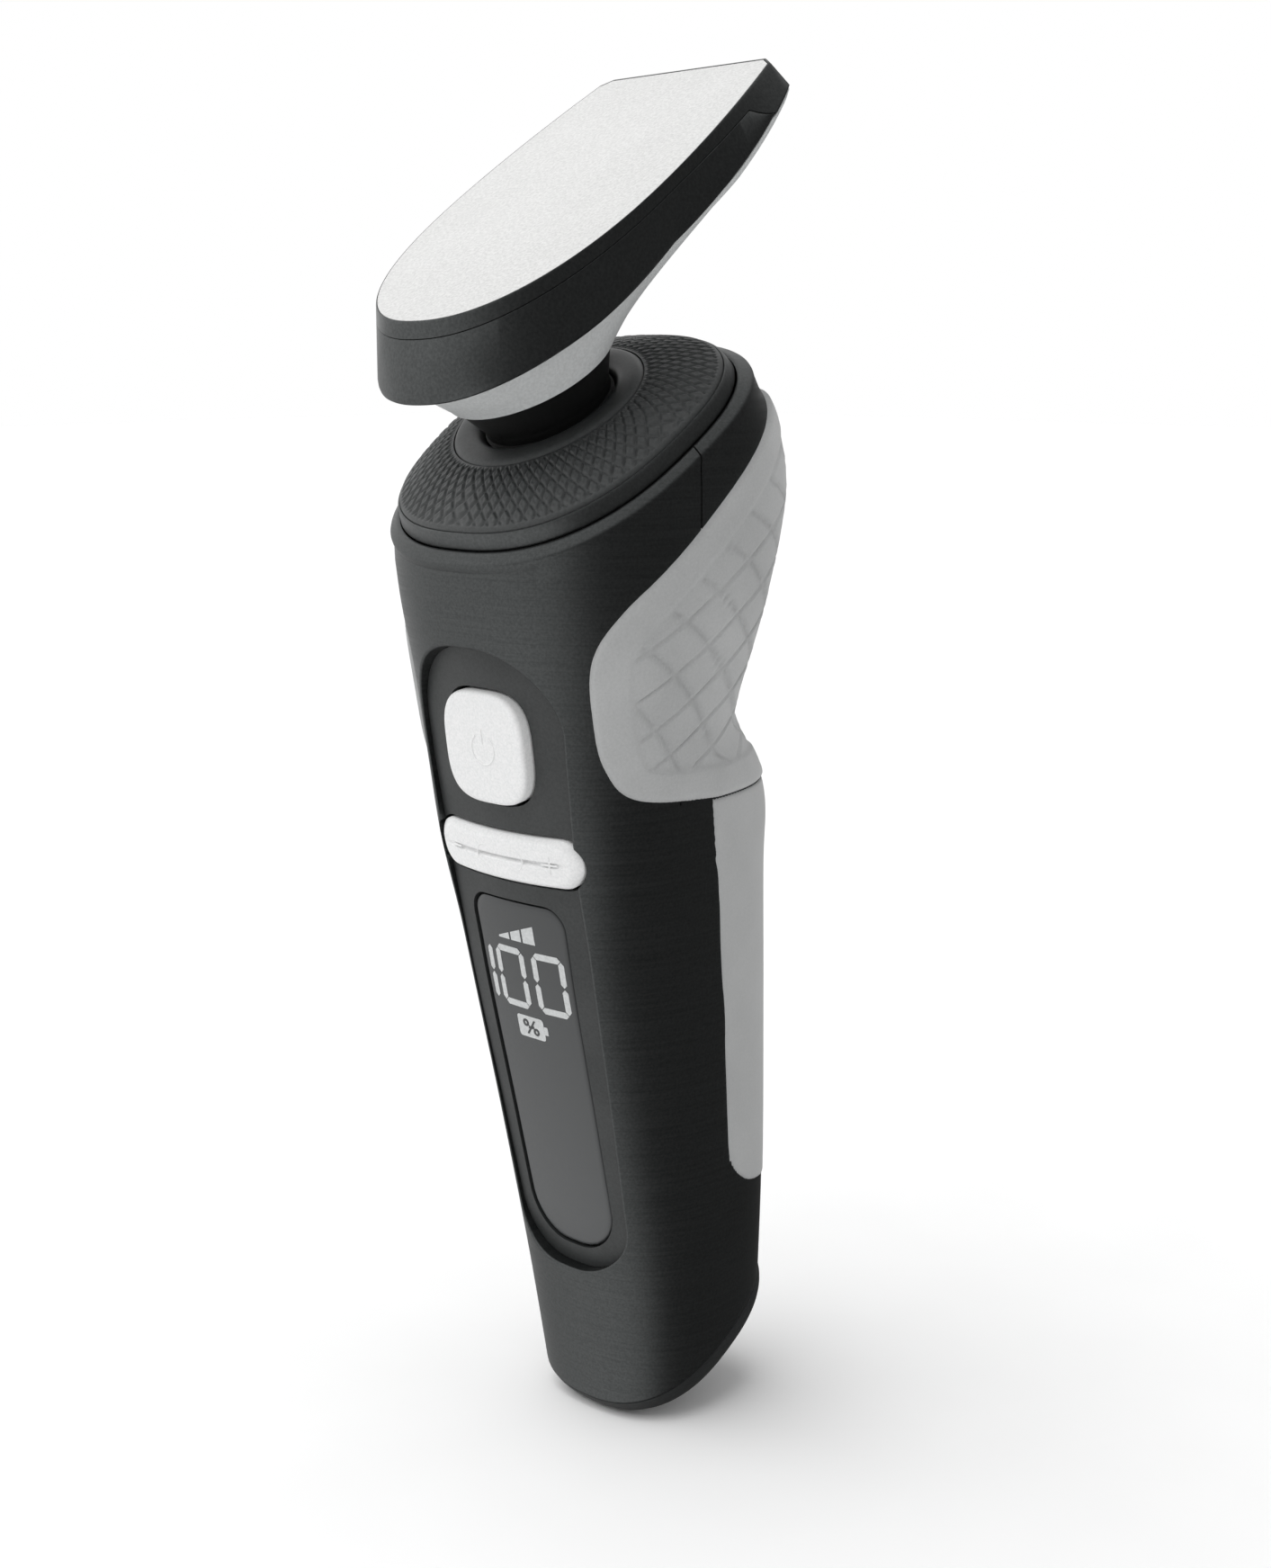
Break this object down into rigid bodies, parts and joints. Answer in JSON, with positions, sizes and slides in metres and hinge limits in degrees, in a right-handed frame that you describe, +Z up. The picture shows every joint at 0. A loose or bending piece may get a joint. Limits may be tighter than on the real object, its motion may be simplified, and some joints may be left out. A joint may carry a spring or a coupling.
{
  "type": "electric shaver",
  "caption": "Leaning handle with a rubber grip, display and keys under a slanted round deck that carries a pull-off precision trimmer head.",
  "frame": {"origin": "centre of the flat foot the handle stands on", "axes": "+Z up, -Y towards the display side, +X to the right side of the shaver as its display faces away from -Y"},
  "size_m": [0.0436, 0.052, 0.1685],
  "materials": {
    "shell_metal": "brushed dark grey lacquered metal",
    "grip_rubber": "soft matt grey rubber with a diamond lattice",
    "cover_rubber": "soft matt grey rubber",
    "cap_plastic": "dark grey satin",
    "black_plastic": "black satin",
    "panel_plastic": "dark grey satin",
    "window_plastic": "smoked, slightly glossy",
    "display_glass": "dark display glass",
    "symbol_white": "light grey print",
    "key_white": "white satin",
    "pin_steel": "ground",
    "grey_plastic": "grey, as moulded",
    "board_green": "solder mask",
    "cell_steel": "shrink wrapped",
    "contact_brass": "bright",
    "disc_plastic": "dark satin with a knurled pattern",
    "plate_steel": "stamped",
    "motor_steel": "nickel plated",
    "gear_plastic": "natural acetal",
    "seal_rubber": "matt",
    "base_plastic": "light grey satin",
    "side_plastic": "dark grey satin",
    "bezel_plastic": "dark grey satin",
    "plate_white": "white satin with fine speckles",
    "blade_steel": "ground"
  },
  "bodies": {
    "handle": {"front_shell": "shell_metal", "rear_shell": "shell_metal", "rubber_grip": "grip_rubber", "back_cover": "cover_rubber", "bottom_cap": "cap_plastic", "charging_socket": "black_plastic", "front_panel": "panel_plastic", "display_window": "window_plastic", "display_module": "display_glass", "display_symbols": "symbol_white", "power_spring": "seal_rubber", "menu_pin": "pin_steel", "key_carrier": "grey_plastic", "tact_switches": "black_plastic", "circuit_board": "board_green", "battery_cell": "cell_steel", "battery_contacts": "contact_brass", "chassis": "grey_plastic", "deck_ring": "shell_metal", "knurled_disc": "disc_plastic", "collar_ring": "disc_plastic", "deck_plate": "grey_plastic", "gear_plate": "plate_steel", "gear_screws": "pin_steel", "motor": "motor_steel", "drive_bush": "contact_brass"},
    "power_key": {"power_button": "key_white"},
    "menu_key": {"menu_bar": "key_white"},
    "motor_rotor": {"motor_shaft": "pin_steel", "motor_pinion": "contact_brass"},
    "drive": {"drive_gear": "gear_plastic", "drive_shaft": "pin_steel"},
    "attachment": {"trimmer_neck": "black_plastic", "neck_seal": "seal_rubber", "trimmer_base": "base_plastic", "trimmer_side": "side_plastic", "trimmer_bezel": "bezel_plastic", "trimmer_plate": "plate_white", "trimmer_frame": "grey_plastic", "lever_pin": "pin_steel", "comb_blade": "blade_steel"},
    "spindle": {"eccentric_spindle": "pin_steel"},
    "lever": {"drive_lever": "gear_plastic"},
    "cutter": {"cutter_blade": "blade_steel"}
  },
  "joints": [
    {"name": "power_press", "type": "slide", "parent": "handle", "child": "power_key", "axis": [0, 0.9892, 0.1464], "range_m": [0, 0.0005], "stiffness_N_per_m": 1500, "deforming": ["power_spring"]},
    {"name": "menu_rock", "type": "hinge", "parent": "handle", "child": "menu_key", "pos_m": [0, -0.01279, 0.07623], "axis": [0, -0.1762, 0.9844], "range_deg": [-2, 2], "stiffness_Nm_per_rad": 0.3},
    {"name": "drive_spin", "type": "hinge", "parent": "handle", "child": "drive", "pos_m": [0, -0.0044, 0.122], "axis": [0, -0.5446, 0.8387], "continuous": true},
    {"name": "motor_spin", "type": "hinge", "parent": "handle", "child": "motor_rotor", "pos_m": [0, -0.01056, 0.118], "axis": [0, -0.5446, 0.8387], "continuous": true},
    {"name": "head_pull", "type": "slide", "parent": "handle", "child": "attachment", "axis": [0, -0.5446, 0.8387], "range_m": [0, 0.03]},
    {"name": "spindle_spin", "type": "hinge", "parent": "attachment", "child": "spindle", "pos_m": [0, -0.0044, 0.122], "axis": [0, -0.5446, 0.8387], "continuous": true},
    {"name": "lever_swing", "type": "hinge", "parent": "attachment", "child": "lever", "pos_m": [0, 0.00734, 0.12962], "axis": [0, -0.5446, 0.8387], "range_deg": [-2.43, 2.43]},
    {"name": "cutter_slide", "type": "slide", "parent": "attachment", "child": "cutter", "axis": [1, 0, 0], "range_m": [-0.0009, 0.0009]}
  ],
  "couplings": [
    {"joint": "motor_spin", "follows": "drive_spin", "ratio": -2},
    {"joint": "spindle_spin", "follows": "drive_spin", "ratio": 1},
    {"joint": "lever_swing", "follows": "cutter_slide", "rad_per_m": -47.1}
  ]
}
